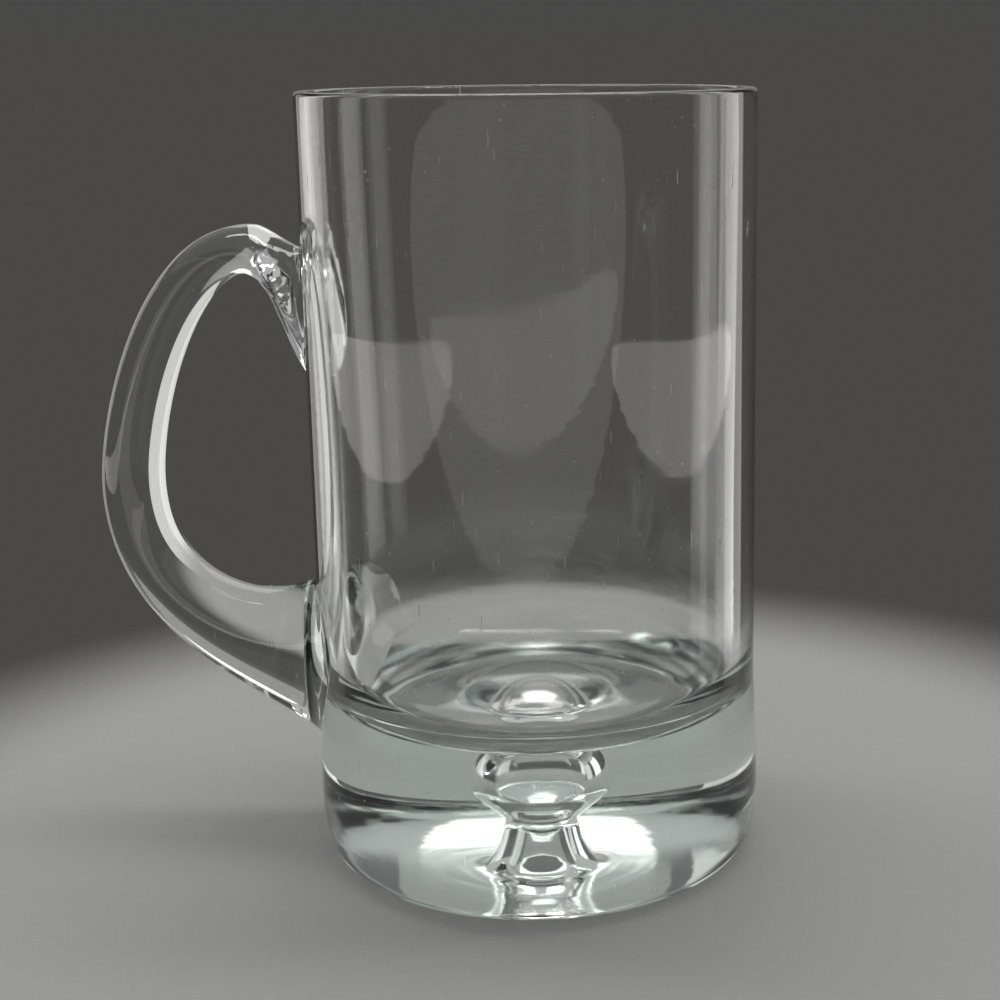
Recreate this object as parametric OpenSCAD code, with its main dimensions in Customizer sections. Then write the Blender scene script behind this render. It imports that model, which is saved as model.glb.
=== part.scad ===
// Glass tankard: a blown body with a heavy dimpled base, and a handle drawn from hot glass
// and pressed onto its wall at two seals. Millimetres, +Z up, the body's axis on Z with its
// underside at Z = 0, and the handle reaching out along -X.

/* [Body] */
// Height from the underside to the rim
body_h = 150; // [120:1:190]
// Outside diameter at the rim
rim_d = 86.5; // [80:0.5:100]
// Outside diameter of the straight wall, just above the swell of the base
wall_d = 87; // [80:0.5:100]
// Outside diameter of the base, below the swell
base_d = 88.6; // [84:0.2:104]
// Height over which the base swells out from the wall
swell_h = 42; // [30:1:60]
// Reach of the foot's round along the underside, in from the base
foot_in = 4.2; // [2:0.1:8]
// Height of the foot's round above the underside
foot_h = 12; // [5:0.5:18]

/* [Wall and cavity] */
// Thickness of the glass at the rim
rim_t = 2.5; // [2:0.1:4]
// Round on the inner and outer edges of the rim
rim_round = 0.9; // [0.3:0.1:1]
// Thickness of the glass low on the wall, where the cavity starts to turn in
wall_t = 4.1; // [3:0.1:6]
// Height of the cavity floor at the top of its middle hill, above the underside
hill_z = 35.6; // [33:0.2:42]
// Radius of the hill where it starts to rise from the valley round it
hill_r = 22.6; // [15:0.2:26]
// Height of the cavity floor in the valley
valley_z = 30.2; // [28:0.2:32]
// Radius of the valley's outer edge, where the cove up to the wall starts
valley_r = 27; // [23:0.2:32]
// Height of the cove between the valley and the wall
cove_h = 12.1; // [8:0.1:18]

/* [Dimple in the underside] */
// Radius where the trumpet mouth runs out into the flat underside
mouth_r = 8.6; // [7:0.1:14]
// Radius of the neck
neck_r = 4.85; // [3:0.05:6]
// Height of the neck above the underside
neck_z = 9; // [6:0.1:11]
// Greatest radius of the bulb
bulb_r = 9.2; // [7:0.1:13]
// Height of the bulb where it is widest
bulb_z = 16.2; // [14.5:0.1:18]
// Height of the top of the bulb
dimple_h = 26.7; // [22:0.1:28]

/* [Handle] */
// Height of the middle of the upper seal pad
pad_z = 109.8; // [100:0.2:115]
// Height of the upper seal pad, with the thin lip pressed up the wall
pad_h = 31.6; // [26:0.2:36]
// Width of the upper seal pad
pad_w = 17; // [14:0.5:24]
// Height of the thick neck that leaves the pad
pad_neck_h = 23.5; // [18:0.5:25]
// Drop of the neck's middle below the middle of the pad
pad_drop = 4.8; // [2:0.2:6]
// Reach of the arch's crown, out from the wall
crown_out = 12.8; // [10:0.2:20]
// Rise of the arch's crown above the middle of the pad
crown_up = 10.4; // [8:0.2:14]
// Thickness of the rod over the arch
crown_t = 9.6; // [7:0.2:14]
// Width of the rod over the arch
crown_w = 14; // [10:0.5:18]
// Reach of the grip, where the rod stands farthest out from the wall
grip_out = 39.6; // [32:0.2:50]
// Height of the grip where it stands farthest out
grip_z = 70.8; // [65:0.2:82]
// Thickness of the rod at the grip
grip_t = 12.9; // [9:0.1:16]
// Width of the rod at the grip
grip_w = 15.5; // [11:0.5:20]
// Height of the middle of the root, the lower seal
root_z = 37.2; // [34:0.2:45]
// Height of the root on the wall
root_h = 37; // [26:0.5:38]
// Width of the root's thin leaf, pressed out round the wall
root_w = 48; // [36:0.5:54]
// Width of the thick heel where it spreads into the leaf
root_neck_w = 28; // [18:0.5:32]
// Hairline left between the handle's seals and the wall
seal_gap = 0.06; // [0.05:0.01:0.15]

/* [Hidden] */

// Steps along each curve of the body's outline, round the body and round the handle's section.
curve_steps = 12;
body_steps = 128;
section_steps = 56;

rim_r = rim_d / 2;
wall_r = wall_d / 2;
base_r = base_d / 2;
glass_colour = [0.80, 0.86, 0.83, 0.45];

// Point at share s of the cubic curve that leaves a towards b and reaches d from c.
function cubic(a, b, c, d, s) =
    a * pow(1 - s, 3) + 3 * b * s * pow(1 - s, 2) + 3 * c * s * s * (1 - s) + d * pow(s, 3);

// Unit direction of travel along the same curve.
function cubic_dir(a, b, c, d, s) =
    let (v = (b - a) * pow(1 - s, 2) + 2 * (c - b) * s * (1 - s) + (d - c) * s * s)
    v / norm(v);

// Points of a cubic curve, without its last one.
function cubic_run(a, b, c, d) =
    [for (i = [0 : curve_steps - 1]) cubic(a, b, c, d, i / curve_steps)];

// Points of an arc between two angles, without its last one. Its two radii may differ.
function arc_run(centre, r, from, to) =
    [for (i = [0 : curve_steps - 1])
        let (a = from + (to - from) * i / curve_steps)
        centre + [r[0] * cos(a), r[1] * sin(a)]];

// Share s, from 0 to 1, eased so that it starts and ends level.
function eased(s) = s * s * (3 - 2 * s);

// Outside radius of the body at height z: the swell of the base, then the wall up to the rim.
function outer_r(z) =
    z < swell_h
        ? wall_r + (base_r - wall_r) * eased((swell_h - z) / (swell_h - foot_h))
        : wall_r + (rim_r - wall_r) * (z - swell_h) / (body_h - swell_h);

// Fullness of the bulb's dome at its top and at its side, and how soon the trumpet opens.
dome_top = 0.68;
dome_side = 0.64;
trumpet_drop = 0.37;
neck_pinch = 1.5;

// Outline of the dimple, from the top of its bulb down to its mouth.
function dimple_outline() =
    let (waist_z = (bulb_z + neck_z) / 2)
    concat(
        cubic_run([0, dimple_h], [bulb_r * dome_top, dimple_h],
            [bulb_r, bulb_z + (dimple_h - bulb_z) * dome_side], [bulb_r, bulb_z]),
        cubic_run([bulb_r, bulb_z], [bulb_r, waist_z], [neck_r, waist_z - neck_pinch], [neck_r, neck_z]),
        cubic_run([neck_r, neck_z], [neck_r, neck_z * (1 - trumpet_drop)],
            [(mouth_r + neck_r) / 2, 0], [mouth_r, 0]),
        [[mouth_r, 0]]);

// Outline of the outside, from the underside round the foot and up to the rim.
function outside_outline() = concat(
    arc_run([base_r - foot_in, foot_h], [foot_in, foot_h], -90, 0),
    [for (i = [0 : curve_steps]) let (z = foot_h + (swell_h - foot_h) * i / curve_steps)
        [outer_r(z), z]],
    arc_run([rim_r - rim_round, body_h - rim_round], [rim_round, rim_round], 0, 90),
    arc_run([rim_r - rim_t + rim_round, body_h - rim_round], [rim_round, rim_round], 90, 180));

// How far the hill's curve runs level out of the valley and over the hill's top.
hill_lead = 0.53;
hill_cap = 0.75;

// Outline of the cavity, from below the rim down to the valley and over the hill.
function cavity_outline() =
    let (cove_w = wall_r - wall_t - valley_r)
    concat(
        [[rim_r - rim_t, body_h - rim_round]],
        arc_run([valley_r, valley_z + cove_h], [cove_w, cove_h], 0, -90),
        [[valley_r, valley_z]],
        cubic_run([hill_r, valley_z], [hill_r * (1 - hill_lead), valley_z],
            [hill_r * hill_cap, hill_z], [0, hill_z]),
        [[0, hill_z]]);

// Blown body: wall, cavity, heavy base and dimple turned in one outline.
module body() {
    color(glass_colour)
        rotate_extrude($fn = body_steps)
            polygon(concat(dimple_outline(), outside_outline(), cavity_outline()));
}

// Section of the handle, as points [x, y, z]: an oval of thickness t along the direction n,
// in the plane of the handle, and width w across it. A positive tail widens its end along n
// and a negative one narrows it, and wrap bends it round to the curve of the wall.
function section(centre, n, t, w, tail, wrap) =
    [for (i = [0 : section_steps - 1])
        let (
            a = 360 * i / section_steps,
            up = t / 2 * sin(a),
            y = w / 2 * cos(a) * (1 + tail * sin(a)) / (1 + tail * tail / 2),
            p = centre + n * up)
        [-p[0] + wrap * (wall_r - sqrt(wall_r * wall_r - y * y)), y, p[1]]];

// Section laid onto the wall: the same oval, shrunk by a share and seated on the glass.
function seat(z, h, w, tail, share) =
    [for (p = section([0, z], [0, 1], h * share, w * share, tail, 0))
        let (r = outer_r(p[2]) + seal_gap)
        [-sqrt(r * r - p[1] * p[1]), p[1], p[2]]];

// Size that grows from a at share 0 to b at share 1, most of it near the end.
function flared(a, b, s, power) = a + (b - a) * pow(s, power);

// Share of the neck's own size left at share s of the way out to the crown: most of it on the
// wall, half of it near pad_wane, and none at the crown.
function neck_share(s) = (1 - s * s) / (1 + pow(s / pad_wane, pad_snap));

// Shape of the handle's sections: narrowing of the pad's top and of the root's lower end, how
// soon and how sharply the neck narrows, how thin the pad's lip and the root's leaf are, and
// how late the heel grows, spreads and turns upright.
pad_tail = -0.35;
pad_wane = 0.5;
pad_snap = 3.2;
lip_thinness = 14;
root_tail = 0.2;
root_growth = 2.34;
root_spread = 2.5;
leaf_thinness = 36;
heel_turn = 3;

// How close to the wall the sections start to bend round to its curve.
pad_wrap = 2;
root_wrap = 4;

// Centre line of the handle in its own plane, as [distance from the axis, height], and how far
// each of its curves runs straight on from its ends.
pad_lead = [4.4, 6];
crown_lead = crown_out / 2.4;
arch_lead = 16.5;
arch_rise = 0.32;
heel_drop = 0.85;
root_lead = [grip_out * 0.18, 0.4];
neck_at = [wall_r + seal_gap, pad_z - pad_drop];
crown_at = [wall_r + crown_out, pad_z + crown_up];
grip_at = [wall_r + grip_out, grip_z];
root_at = [wall_r + seal_gap, root_z];
pad_curve = [neck_at, neck_at + pad_lead, crown_at - [crown_lead, 0], crown_at];
arch_curve = [crown_at, crown_at + [arch_lead, 0],
    grip_at + [0, (crown_at[1] - grip_z) * arch_rise], grip_at];
heel_curve = [grip_at, grip_at - [0, (grip_z - root_z) * heel_drop], root_at + root_lead, root_at];

function pad_section(s) =
    let (lip = pow(1 - s, lip_thinness))
    section(cubic(pad_curve[0], pad_curve[1], pad_curve[2], pad_curve[3], s) + [0, pad_drop * lip],
        [0, 1],
        crown_t + (pad_neck_h - crown_t) * neck_share(s) + (pad_h - pad_neck_h) * lip,
        crown_w + (pad_w - crown_w) * neck_share(s),
        pad_tail * (1 - s), pow(1 - s, pad_wrap));

function arch_section(s) =
    let (d = cubic_dir(arch_curve[0], arch_curve[1], arch_curve[2], arch_curve[3], s))
    section(cubic(arch_curve[0], arch_curve[1], arch_curve[2], arch_curve[3], s), [-d[1], d[0]],
        crown_t + (grip_t - crown_t) * s, crown_w + (grip_w - crown_w) * s, 0, 0);

// The heel's sections turn upright towards the wall, so that the last ones lie along it.
function heel_section(s) =
    let (
        d = cubic_dir(heel_curve[0], heel_curve[1], heel_curve[2], heel_curve[3], s),
        upright = pow(s, heel_turn),
        n = [-d[1], d[0]] * (1 - upright) + [0, -1] * upright)
    section(cubic(heel_curve[0], heel_curve[1], heel_curve[2], heel_curve[3], s), n / norm(n),
        flared(grip_t, root_h, s, root_growth),
        flared(grip_w, root_neck_w, s, root_spread) + flared(0, root_w - root_neck_w, s, leaf_thinness),
        -root_tail * s, pow(s, root_wrap));

// All sections of the handle from the upper seal to the root, with the seats closing its ends.
pad_steps = 14;
arch_steps = 18;
heel_steps = 26;
seat_steps = 12;
handle_sections = concat(
    [for (i = [1 : seat_steps]) seat(pad_z, pad_h, pad_w, pad_tail, i / seat_steps)],
    [for (i = [1 : pad_steps - 1]) pad_section(i / pad_steps)],
    [for (i = [0 : arch_steps - 1]) arch_section(i / arch_steps)],
    [for (i = [0 : heel_steps - 1]) heel_section(i / heel_steps)],
    [for (i = [0 : seat_steps - 1])
        [for (j = [0 : section_steps - 1])
            seat(root_z, root_h, root_w, root_tail, 1 - i / seat_steps)
                [(section_steps - j) % section_steps]]]);

// Solid skin over a list of closed sections, with its two ends closed by middle points.
module skinned(sections, first_mid, last_mid) {
    n = section_steps;
    last = len(sections) - 1;
    points = concat([for (s = sections) for (p = s) p], [first_mid, last_mid]);
    sides = [for (i = [0 : last - 1]) for (j = [0 : n - 1])
        let (a = i * n + j, b = i * n + (j + 1) % n)
        each [[a, b, b + n], [a, b + n, a + n]]];
    first_end = [for (j = [0 : n - 1]) [(j + 1) % n, j, n * (last + 1)]];
    last_end = [for (j = [0 : n - 1]) [last * n + j, last * n + (j + 1) % n, n * (last + 1) + 1]];
    polyhedron(points, concat(sides, first_end, last_end));
}

// Applied handle: pressed pad, arched rod and thick root in one skin, seated on the wall.
module handle() {
    color(glass_colour)
        skinned(handle_sections,
            [-outer_r(pad_z) - seal_gap, 0, pad_z],
            [-outer_r(root_z) - seal_gap, 0, root_z]);
}

body();
handle();
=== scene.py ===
import math

import bpy
from mathutils import Euler, Matrix, Vector
from mathutils.bvhtree import BVHTree


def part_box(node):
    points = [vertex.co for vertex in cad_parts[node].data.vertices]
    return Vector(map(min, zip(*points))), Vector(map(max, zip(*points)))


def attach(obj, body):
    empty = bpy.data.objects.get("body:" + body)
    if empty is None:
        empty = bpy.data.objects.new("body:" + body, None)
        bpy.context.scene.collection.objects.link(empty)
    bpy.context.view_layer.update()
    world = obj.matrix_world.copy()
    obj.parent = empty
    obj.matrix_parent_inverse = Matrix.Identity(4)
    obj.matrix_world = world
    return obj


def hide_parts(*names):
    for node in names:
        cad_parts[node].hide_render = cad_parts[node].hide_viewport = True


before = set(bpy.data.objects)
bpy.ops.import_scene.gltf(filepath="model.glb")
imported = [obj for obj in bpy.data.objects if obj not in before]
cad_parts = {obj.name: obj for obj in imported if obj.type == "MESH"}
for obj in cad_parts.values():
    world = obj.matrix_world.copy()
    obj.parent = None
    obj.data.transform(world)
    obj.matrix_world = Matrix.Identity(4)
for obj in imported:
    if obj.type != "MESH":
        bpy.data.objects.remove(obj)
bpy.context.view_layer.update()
bpy.ops.object.select_all(action="DESELECT")

# Body: one gather of clear glass, blown with a thin straight wall over a heavy solid base.
# A hollow bulb on a narrow neck is pushed up into the base from below while it is soft.
# The outline is drawn as a curve, from the top of the bulb round to the cavity floor, and spun.
MM = 0.001
body_low, body_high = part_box("body")
body_height = body_high[2] / MM
base_radius = (body_high[0] - body_low[0]) / 2 / MM
rim_radius = 43.25
rim_thickness = 2.5
rim_round = 0.9
wall_radius = 43.5
cavity_radius = 39.4
swell_height = 42.0
foot_inset = 4.2
foot_height = 12.0
hill_height = 35.6
hill_radius = 22.6
valley_height = 30.2
valley_radius = 27.0
cove_height = 12.1
dimple_height = 26.7
bulb_radius = 9.2
bulb_height = 16.2
neck_radius = 4.85
neck_height = 9.0
mouth_radius = 8.6
bulb_rise = dimple_height - bulb_height
neck_rise = bulb_height - neck_height
wall_length = body_height - rim_round - swell_height
rim_inner = rim_radius - rim_thickness
cove_top = valley_height + cove_height
cove_width = cavity_radius - valley_radius
cavity_length = body_height - rim_round - cove_top
valley_width = valley_radius - hill_radius

# How far a curve keeps its direction at a corner. ROUND makes a quarter of a circle or an ellipse.
ROUND = 0.5523
bulb_crown = bulb_radius * 0.68
bulb_shoulder = bulb_rise * 0.64
neck_shoulder = neck_rise / 2 - 1.5
mouth_flare = neck_height * 0.37
hill_slope = hill_radius * 0.53
hill_crown = hill_radius * 0.75
foot_flat = 1.0
rim_flat = 0.2

# Each corner: radius, height, direction of travel, and the reach of its curve before and after.
OUT, IN, UP, DOWN = Vector((1, 0)), Vector((-1, 0)), Vector((0, 1)), Vector((0, -1))
outline = [
    (0, dimple_height, OUT, 0, bulb_crown),
    (bulb_radius, bulb_height, DOWN, bulb_shoulder, neck_rise / 2),
    (neck_radius, neck_height, DOWN, neck_shoulder, mouth_flare),
    (mouth_radius, 0, OUT, (mouth_radius - neck_radius) / 2, foot_flat),
    (base_radius - foot_inset, 0, OUT, foot_flat, ROUND * foot_inset),
    (base_radius, foot_height, UP, ROUND * foot_height, swell_height / 3),
    (wall_radius, swell_height, UP, swell_height / 3, wall_length / 3),
    (rim_radius, body_height - rim_round, UP, wall_length / 3, ROUND * rim_round),
    (rim_radius - rim_round, body_height, IN, ROUND * rim_round, rim_flat),
    (rim_inner + rim_round, body_height, IN, rim_flat, ROUND * rim_round),
    (rim_inner, body_height - rim_round, DOWN, ROUND * rim_round, cavity_length / 3),
    (cavity_radius, cove_top, DOWN, cavity_length / 3, ROUND * cove_height),
    (valley_radius, valley_height, IN, ROUND * cove_width, valley_width / 3),
    (hill_radius, valley_height, IN, valley_width / 3, hill_slope),
    (0, hill_height, IN, hill_crown, 0),
]
curve_steps, spin_steps = 16, 192
weld_gap = 0.002 * MM
bpy.ops.curve.primitive_bezier_curve_add()
body = bpy.context.object
body.name = "body_glass"
body.data.resolution_u = curve_steps
spline = body.data.splines[0]
spline.bezier_points.add(len(outline) - 2)
for corner, (radius, height, way, before, after) in zip(spline.bezier_points, outline):
    at = Vector((radius, height))
    corner.handle_left_type = corner.handle_right_type = "FREE"
    corner.co = (at * MM).to_3d().xzy
    corner.handle_left = ((at - way * before) * MM).to_3d().xzy
    corner.handle_right = ((at + way * after) * MM).to_3d().xzy
bpy.ops.object.convert(target="MESH")
bpy.ops.object.mode_set(mode="EDIT")
bpy.ops.mesh.select_all(action="SELECT")
bpy.ops.mesh.spin(steps=spin_steps, angle=2 * math.pi, center=(0, 0, 0), axis=(0, 0, 1))
bpy.ops.mesh.select_all(action="SELECT")
bpy.ops.mesh.remove_doubles(threshold=weld_gap)
bpy.ops.mesh.normals_make_consistent(inside=False)
bpy.ops.object.mode_set(mode="OBJECT")
bpy.ops.object.shade_smooth()


def put(tree, kind, inputs=(), **settings):
    made = tree.nodes.new("ShaderNode" + kind)
    for name, value in settings.items():
        setattr(made, name, value)
    for socket, value in dict(inputs).items():
        if isinstance(value, bpy.types.NodeSocket):
            tree.links.new(value, made.inputs[socket])
        else:
            made.inputs[socket].default_value = value
    return made.outputs[0]


def maths(tree, operation, first, second):
    return put(tree, "Math", {0: first, 1: second}, operation=operation)


def between(tree, value, low, high):
    return put(tree, "MapRange", {"Value": value, "From Min": low, "From Max": high})


def stretched(tree, place, x, y, z):
    return put(tree, "VectorMath", {0: place, 1: (x, y, z)}, operation="MULTIPLY")


# Worked glass, shared by both pieces: rings left by turning it on the iron, upright cords in the
# wall, a film of smears, short scratches and specks of dust. Heights are in millimetres. A grain is
# the number of waves or cells in a metre across the marks, and a run or drift the number along them.
ring_grain, ring_drift = 420, 26
cord_grain, cord_run = 330, 9
smear_grain, smear_run = 75, 16
smear_thin, smear_thick = 0.20, 0.75
scratch_grain, scratch_run, scratch_size = 1300, 100, 0.16
speck_grain, speck_size = 620, 0.10
mark_dullness = 0.6
worked = bpy.data.node_groups.new("worked_glass", "ShaderNodeTree")
worked.interface.new_socket("Place", in_out="INPUT", socket_type="NodeSocketVector")
for socket in ("Rings", "Cords", "Film", "Scratches", "Specks", "Rubbed"):
    worked.interface.new_socket(socket, in_out="INPUT", socket_type="NodeSocketFloat")
for socket in ("Roughness", "Height"):
    worked.interface.new_socket(socket, in_out="OUTPUT", socket_type="NodeSocketFloat")
given = worked.nodes.new("NodeGroupInput").outputs
place = given["Place"]
around = worked.nodes.new("ShaderNodeVectorMath")
around.operation = "LENGTH"
worked.links.new(stretched(worked, place, 1, 1, 0), around.inputs[0])
split = worked.nodes.new("ShaderNodeSeparateXYZ")
worked.links.new(place, split.inputs[0])
turned = put(worked, "CombineXYZ", {
    0: maths(worked, "MULTIPLY", around.outputs["Value"], ring_grain),
    1: maths(worked, "MULTIPLY", split.outputs["X"], ring_drift),
    2: maths(worked, "MULTIPLY", split.outputs["Z"], ring_grain),
})
rings = put(worked, "TexNoise", {"Vector": turned, "Scale": 1, "Detail": 1})
drawn = stretched(worked, place, cord_grain, cord_grain, cord_run)
cords = put(worked, "TexNoise", {"Vector": drawn, "Scale": 1, "Detail": 1})
height = maths(worked, "ADD", maths(worked, "MULTIPLY", rings, given["Rings"]),
               maths(worked, "MULTIPLY", cords, given["Cords"]))

wiped = stretched(worked, place, smear_grain, smear_grain, smear_run)
smears = put(worked, "TexNoise", {"Vector": wiped, "Scale": 1, "Detail": 3})
dull = maths(worked, "MULTIPLY", between(worked, smears, smear_thin, smear_thick), given["Film"])
upright = stretched(worked, place, scratch_grain, scratch_grain, scratch_run)
for marks_at, grain, chance, size in (
    (upright, 1, "Scratches", scratch_size),
    (place, speck_grain, "Specks", speck_size),
):
    cells = worked.nodes.new("ShaderNodeTexVoronoi")
    cells.inputs["Scale"].default_value = grain
    worked.links.new(marks_at, cells.inputs["Vector"])
    shade = put(worked, "SeparateColor", {0: cells.outputs["Color"]})
    chosen = maths(worked, "LESS_THAN", shade, given[chance])
    middle = maths(worked, "LESS_THAN", cells.outputs["Distance"], size)
    mark = maths(worked, "MULTIPLY", middle, chosen)
    dull = maths(worked, "MAXIMUM", dull, maths(worked, "MULTIPLY", mark, mark_dullness))
dull = maths(worked, "MAXIMUM", dull, given["Rubbed"])
result = worked.nodes.new("NodeGroupOutput")
worked.links.new(dull, result.inputs["Roughness"])
worked.links.new(height, result.inputs["Height"])

glass_index = 1.52
glass_tint = (0.74, 0.95, 0.86, 1)
tint_density = 5.0


def glass_material(name, rings, cords, film, scratches, specks):
    material = bpy.data.materials.new(name)
    material.use_nodes = True
    tree = material.node_tree
    nodes, links = tree.nodes, tree.links
    glass = nodes["Principled BSDF"]
    glass.inputs["Base Color"].default_value = (1, 1, 1, 1)
    glass.inputs["IOR"].default_value = glass_index
    glass.inputs["Transmission Weight"].default_value = 1.0
    finish = nodes.new("ShaderNodeGroup")
    finish.name = "finish"
    finish.node_tree = worked
    amounts = {"Rings": rings, "Cords": cords, "Film": film, "Scratches": scratches, "Specks": specks}
    for socket, amount in amounts.items():
        finish.inputs[socket].default_value = amount
    links.new(nodes.new("ShaderNodeTexCoord").outputs["Object"], finish.inputs["Place"])
    links.new(finish.outputs["Roughness"], glass.inputs["Roughness"])
    waves = nodes.new("ShaderNodeBump")
    waves.inputs["Distance"].default_value = MM
    links.new(finish.outputs["Height"], waves.inputs["Height"])
    links.new(waves.outputs["Normal"], glass.inputs["Normal"])
    # Skin that lies inside the other piece has a melted value above 0, and is left clear.
    melted = nodes.new("ShaderNodeAttribute")
    melted.attribute_name = "melted"
    links.new(maths(tree, "LESS_THAN", melted.outputs["Fac"], 0.0), glass.inputs["Alpha"])
    depth = nodes.new("ShaderNodeVolumeAbsorption")
    depth.inputs["Color"].default_value = glass_tint
    depth.inputs["Density"].default_value = tint_density
    links.new(depth.outputs["Volume"], nodes["Material Output"].inputs["Volume"])
    return material


wall_rings = 0.009
body_glass = glass_material(
    "clear_glass", rings=wall_rings, cords=0.003, film=0.08, scratches=0.03, specks=0.03)
body.data.materials.append(body_glass)

# The underside is ground flat, and the ring that the mug stands on is rubbed dull by tables.
# The foot was turned against a block, which left deeper rings there.
ground_depth, ground_dullness = 0.15 * MM, 0.12
stand_inner, stand_outer = 37.0 * MM, 39.5 * MM
rub_grain, rub_thin, rub_thick, rub_dullness = 600, 0.42, 0.62, 0.3
block_top, block_bottom, block_rings = 20.0 * MM, 6.0 * MM, 0.05
tree = body_glass.node_tree
place = tree.nodes.new("ShaderNodeTexCoord").outputs["Object"]
split = tree.nodes.new("ShaderNodeSeparateXYZ")
tree.links.new(place, split.inputs[0])
reach = tree.nodes.new("ShaderNodeVectorMath")
reach.operation = "LENGTH"
tree.links.new(place, reach.inputs[0])
ground = maths(tree, "LESS_THAN", split.outputs["Z"], ground_depth)
outer_ring = between(tree, reach.outputs["Value"], stand_inner, stand_outer)
blotches = put(tree, "TexNoise", {"Vector": place, "Scale": rub_grain, "Detail": 3})
rubs = maths(tree, "MULTIPLY", outer_ring, between(tree, blotches, rub_thin, rub_thick))
worn = maths(tree, "ADD", maths(tree, "MULTIPLY", rubs, rub_dullness), ground_dullness)
finish = tree.nodes["finish"]
tree.links.new(maths(tree, "MULTIPLY", ground, worn), finish.inputs["Rubbed"])
foot = between(tree, split.outputs["Z"], block_top, block_bottom)
blocked = maths(tree, "MULTIPLY", foot, block_rings)
tree.links.new(maths(tree, "ADD", blocked, wall_rings), finish.inputs["Rings"])
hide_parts("body")
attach(body, "root")

# Handle: a bit of hot glass, pressed onto the wall as a pad, drawn out, arched over and sealed
# low on the wall as a thick root. Sections are set along its centre line and extruded into one
# skin, and its ends are sunk a little into the wall, where the two glasses have melted together.
pad_height_at, pad_tall, pad_wide, pad_tail = 109.8, 31.6, 17.0, -0.35
pad_neck_drop, pad_neck_tall = 4.8, 23.5
crown_out, crown_up, crown_thick, crown_wide = 12.8, 10.4, 9.6, 14.0
grip_out, grip_height, grip_thick, grip_wide = 39.6, 70.8, 12.9, 15.5
root_height_at, root_tall, root_wide, root_tail = 37.2, 37.0, 48.0, 0.2
root_neck_wide = 28.0
sunk, sunk_share = 1.0, 0.97
section_corners = 24
pad_at = Vector((wall_radius, pad_height_at))
neck_at = pad_at - Vector((0, pad_neck_drop))
crown_at = Vector((wall_radius + crown_out, pad_height_at + crown_up))
grip_at = Vector((wall_radius + grip_out, grip_height))
root_at = Vector((wall_radius, root_height_at))
arch_drop = crown_at.y - grip_height
heel_drop = grip_height - root_height_at

# The leads bend the centre line: how far it keeps its direction at each end of a stretch.
pad_lead, crown_lead = Vector((4.4, 6)), Vector((crown_out / 2.4, 0))
arch_lead, grip_lead = Vector((16.5, 0)), Vector((0, arch_drop * 0.32))
heel_lead, root_lead = Vector((0, heel_drop * 0.85)), Vector((grip_out * 0.18, 0.4))
pad_curve = (neck_at, neck_at + pad_lead, crown_at - crown_lead, crown_at)
arch_curve = (crown_at, crown_at + arch_lead, grip_at + grip_lead, grip_at)
heel_curve = (grip_at, grip_at - heel_lead, root_at + root_lead, root_at)

# Sections lie closer where the glass spreads, and the powers set how late it does so.
pad_steps = (0, 0.03, 0.07, 0.12, 0.18, 0.25, 0.33, 0.42, 0.52, 0.64, 0.8)
arch_steps = (0, 0.12, 0.25, 0.4, 0.55, 0.7, 0.85)
heel_steps = (0, 0.12, 0.25, 0.38, 0.5, 0.62, 0.74, 0.84, 0.9, 0.94, 0.97, 0.985, 1)
flare_middle, flare_power, lip_power = 0.5, 3.2, 14
heel_power, neck_power, leaf_power = 2.34, 2.5, 36
upright_power, wrap_power = 3, 4


def along(curve, s):
    a, b, c, d = curve
    place = a * (1 - s) ** 3 + b * 3 * s * (1 - s) ** 2 + c * 3 * s * s * (1 - s) + d * s ** 3
    way = (b - a) * (1 - s) ** 2 + (c - b) * 2 * s * (1 - s) + (d - c) * s * s
    return place, way.normalized()


def section(centre, across, thick, wide, tail, wrap):
    points = []
    for i in range(section_corners):
        angle = 2 * math.pi * i / section_corners
        y = wide / 2 * math.cos(angle) * (1 + tail * math.sin(angle)) / (1 + tail * tail / 2)
        place = centre + across * (thick / 2 * math.sin(angle))
        bend = wrap * (wall_radius - math.sqrt(wall_radius ** 2 - y * y))
        points.append(Vector((-place.x + bend, y, place.y)) * MM)
    return points


pad_end = pad_at - Vector((sunk, 0))
root_end = root_at - Vector((sunk, 0))
sections = [section(pad_end, UP, pad_tall * sunk_share, pad_wide * sunk_share, pad_tail, 1)]
for s in pad_steps:
    flare = (1 - s * s) / (1 + (s / flare_middle) ** flare_power)
    lip = (1 - s) ** lip_power
    centre = along(pad_curve, s)[0] + UP * pad_neck_drop * lip
    tall = crown_thick + (pad_neck_tall - crown_thick) * flare + (pad_tall - pad_neck_tall) * lip
    wide = crown_wide + (pad_wide - crown_wide) * flare
    sections.append(section(centre, UP, tall, wide, pad_tail * (1 - s), (1 - s) ** 2))
for s in arch_steps:
    centre, way = along(arch_curve, s)
    thick = crown_thick + (grip_thick - crown_thick) * s
    wide = crown_wide + (grip_wide - crown_wide) * s
    sections.append(section(centre, Vector((-way.y, way.x)), thick, wide, 0, 0))
for s in heel_steps:
    centre, way = along(heel_curve, s)
    upright = s ** upright_power
    across = (Vector((-way.y, way.x)) * (1 - upright) + DOWN * upright).normalized()
    thick = grip_thick + (root_tall - grip_thick) * s ** heel_power
    neck_wide = grip_wide + (root_neck_wide - grip_wide) * s ** neck_power
    wide = neck_wide + (root_wide - root_neck_wide) * s ** leaf_power
    sections.append(section(centre, across, thick, wide, -root_tail * s, s ** wrap_power))
sections.append(section(root_end, DOWN, root_tall * sunk_share, root_wide * sunk_share, -root_tail, 1))

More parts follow.
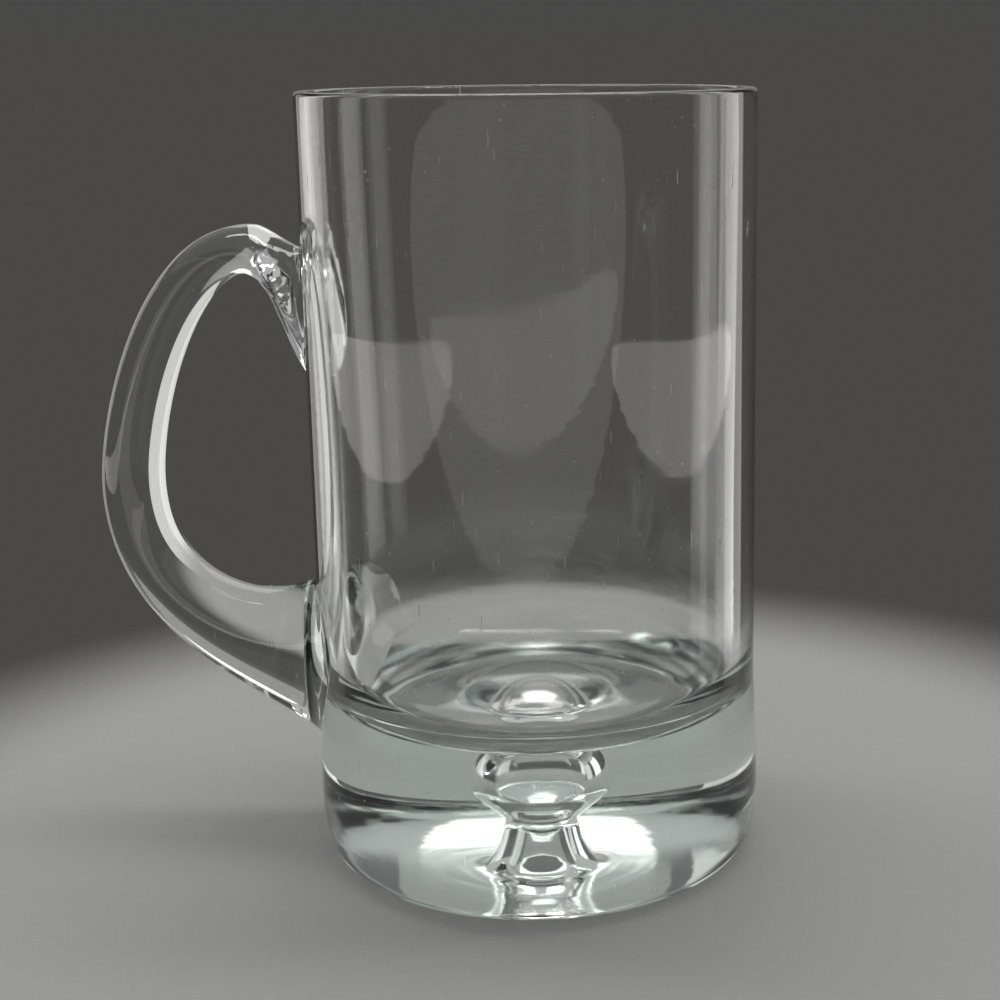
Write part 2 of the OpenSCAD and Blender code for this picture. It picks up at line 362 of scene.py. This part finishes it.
bpy.ops.object.select_all(action="DESELECT")
bpy.ops.mesh.primitive_circle_add(vertices=section_corners, radius=MM, fill_type="NGON")
handle = bpy.context.object
handle.name = "handle_glass"
for corner, point in zip(handle.data.vertices, sections[0]):
    corner.co = point
bpy.ops.object.mode_set(mode="EDIT")
for points in sections[1:]:
    bpy.ops.mesh.extrude_region()
    bpy.ops.object.mode_set(mode="OBJECT")
    picked = [v for v in handle.data.vertices if v.select]
    for corner, point in zip(picked, points):
        corner.co = point
    bpy.ops.object.mode_set(mode="EDIT")
bpy.ops.mesh.select_all(action="SELECT")
bpy.ops.mesh.normals_make_consistent(inside=False)
bpy.ops.object.mode_set(mode="OBJECT")
smooth = handle.modifiers.new("smooth", "SUBSURF")
smooth.levels = smooth.render_levels = 3
bpy.ops.object.modifier_apply(modifier="smooth")
bpy.ops.object.shade_smooth()

# Where the hot pad was pressed on and bent over, its skin is crumpled.
crumple_at, crumple_reach = Vector((-51.5, 0, 114.5)) * MM, 9.0 * MM
crumple_depth, crumple_grain = 0.45 * MM, 2.6 * MM
pinched = handle.vertex_groups.new(name="pinched")
for corner in handle.data.vertices:
    off = (corner.co - crumple_at) / crumple_reach
    pinched.add([corner.index], max(0.0, 1 - off.x ** 2 - off.z ** 2), "REPLACE")
creases = bpy.data.textures.new("creases", "CLOUDS")
creases.noise_scale = crumple_grain
creases.noise_depth = 1
crumple = handle.modifiers.new("crumple", "DISPLACE")
crumple.texture = creases
crumple.texture_coords = "LOCAL"
crumple.vertex_group = "pinched"
crumple.strength = crumple_depth
bpy.ops.object.modifier_apply(modifier="crumple")


# The melted value is the depth of a point inside the other piece, and below 0 outside it.
def mark_melted(piece, other):
    other_skin = BVHTree.FromObject(other, bpy.context.evaluated_depsgraph_get())
    depths = []
    for corner in piece.data.vertices:
        near, facing, _, distance = other_skin.find_nearest(corner.co)
        depths.append(distance if (corner.co - near).dot(facing) < 0 else -distance)
    piece.data.attributes.new("melted", "FLOAT", "POINT").data.foreach_set("value", depths)


mark_melted(body, handle)
mark_melted(handle, body)
handle.data.materials.append(
    glass_material("handle_glass", rings=0.004, cords=0.002, film=0.05, scratches=0.03, specks=0.03))
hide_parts("handle")
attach(handle, "root")

# Floor: a plain pale table top in matt paint, just under the mug.
# It fades out behind the mug, so that the glass stands against the dark of the room.
floor_radius, floor_drop = 0.4, 0.0004
floor_grey, floor_roughness = 0.42, 0.8
fade_start, fade_end = 0.12, 0.19
bpy.ops.object.select_all(action="DESELECT")
bpy.ops.mesh.primitive_circle_add(
    vertices=96, radius=floor_radius, fill_type="NGON", location=(0, 0, -floor_drop))
floor = bpy.context.object
floor.name = "floor"
paint = bpy.data.materials.new("floor_paint")
paint.use_nodes = True
tree = paint.node_tree
matt = tree.nodes["Principled BSDF"]
matt.inputs["Base Color"].default_value = (floor_grey, floor_grey, floor_grey, 1)
matt.inputs["Roughness"].default_value = floor_roughness
reach = tree.nodes.new("ShaderNodeVectorMath")
reach.operation = "LENGTH"
tree.links.new(tree.nodes.new("ShaderNodeTexCoord").outputs["Object"], reach.inputs[0])
fade = {"Value": reach.outputs["Value"], "From Min": fade_start, "From Max": fade_end,
        "To Min": 1.0, "To Max": 0.0}
shown = put(tree, "MapRange", fade, interpolation_type="SMOOTHSTEP")
tree.links.new(shown, matt.inputs["Alpha"])
floor.data.materials.append(paint)

# Light: tall soft boxes at both sides draw the edges of the glass, two behind light its base, and
# one hangs above, in a grey room that is paler overhead. The wall reflects the oval boxes in front,
# which don't show through the glass from behind.
lamp_colour = (1.0, 0.985, 0.94)
edge_height, edge_tall = -0.12, 0.85


def soft_box(name, place, aim, width, height, power, shape="RECTANGLE"):
    lamp = bpy.data.lights.new(name, "AREA")
    lamp.shape = shape
    lamp.size, lamp.size_y = width, height
    lamp.energy = power
    lamp.color = lamp_colour
    box = bpy.data.objects.new(name, lamp)
    box.location = place
    box.rotation_euler = (Vector(aim) - Vector(place)).to_track_quat("-Z", "Y").to_euler()
    box.visible_camera = False
    box.visible_transmission = shape == "RECTANGLE"
    bpy.context.scene.collection.objects.link(box)


soft_box("left_box", (-0.528, 0.459, edge_height), (0, 0, edge_height), 0.197, edge_tall, 0.3)
soft_box("left_side_box", (-0.634, 0.296, edge_height), (0, 0, edge_height), 0.197, edge_tall, 0.44)
soft_box("right_box", (0.532, 0.455, edge_height), (0, 0, edge_height), 0.234, edge_tall, 0.75)
soft_box("side_box", (0.671, 0.199, edge_height), (0, 0, edge_height), 0.16, edge_tall, 0.26)
soft_box("top_box", (0, 0.1, 0.9), (0, 0, 0), 1.0, 0.12, 3)
soft_box("back_box", (-0.136, 0.70, 0.56), (-0.136, 0, 0.56), 0.57, 0.40, 0.75)
soft_box("low_back_box", (-0.19, 1.0, 0.33), (-0.19, 0, 0.33), 1.02, 0.33, 0.2)
soft_box("front_box", (0.12, -0.5, 0.055), (0.12, 0, 0.055), 1.3, 0.25, 0.52, "ELLIPSE")
soft_box("front_low_box", (0.13, -0.48, 0.0273), (0.13, 0, 0.0273), 1.0, 0.061, 0.12, "ELLIPSE")
soft_box("front_left_box", (-0.504, -0.221, -0.0035), (0, 0, -0.0035), 0.9, 0.065, 0.24, "ELLIPSE")
soft_box("front_side_box", (0.55, -0.02, -0.0035), (0, 0, -0.0035), 0.9, 0.065, 0.24, "ELLIPSE")

# The greys of the room, by how far a direction rises: 0 is level and 1 is straight up.
room_low, room_high = (0.068, 0.066, 0.064, 1), (0.45, 0.45, 0.45, 1)
room_greys = ((0.04, 0.066), (0.12, 0.11), (0.40, 0.13), (0.44, 0.47), (0.70, 0.45))
world = bpy.data.worlds.new("room")
bpy.context.scene.world = world
world.use_nodes = True
nodes, links = world.node_tree.nodes, world.node_tree.links
room = nodes["Background"]
split = nodes.new("ShaderNodeSeparateXYZ")
links.new(nodes.new("ShaderNodeTexCoord").outputs["Generated"], split.inputs["Vector"])
rise = nodes.new("ShaderNodeValToRGB")
rise.color_ramp.elements[0].color = room_low
rise.color_ramp.elements[1].color = room_high
for height, grey in room_greys:
    rise.color_ramp.elements.new(height).color = (grey, grey, grey, 1)
links.new(split.outputs["Z"], rise.inputs["Fac"])
links.new(rise.outputs["Color"], room.inputs["Color"])
room.inputs["Strength"].default_value = 1.0

# Camera: at the photograph's angle, a little above the rim and looking down at the mug.
# Its place is in millimetres from the axis and the rim, and its angles are in degrees.
camera = bpy.data.objects.new("camera", bpy.data.cameras.new("camera"))
bpy.context.scene.collection.objects.link(camera)
bpy.context.scene.camera = camera
turn, tilt, roll = 8.0, 14.506, -0.505
side, back, above = 16.82, 348.85, 6.66
camera.location = (
    (side * math.cos(math.radians(turn)) + back * math.sin(math.radians(turn))) * MM,
    (side * math.sin(math.radians(turn)) - back * math.cos(math.radians(turn))) * MM,
    (body_height + above) * MM,
)
aim = Euler((math.radians(90 - tilt), 0, math.radians(turn))).to_matrix()
camera.rotation_euler = (aim @ Matrix.Rotation(math.radians(roll), 3, "Z")).to_euler()
camera.data.lens = 65.28
camera.data.sensor_width = 36
camera.data.shift_x = -0.12
camera.data.shift_y = 0.02
camera.data.clip_start = 0.01
bpy.context.scene.view_settings.view_transform = "Standard"
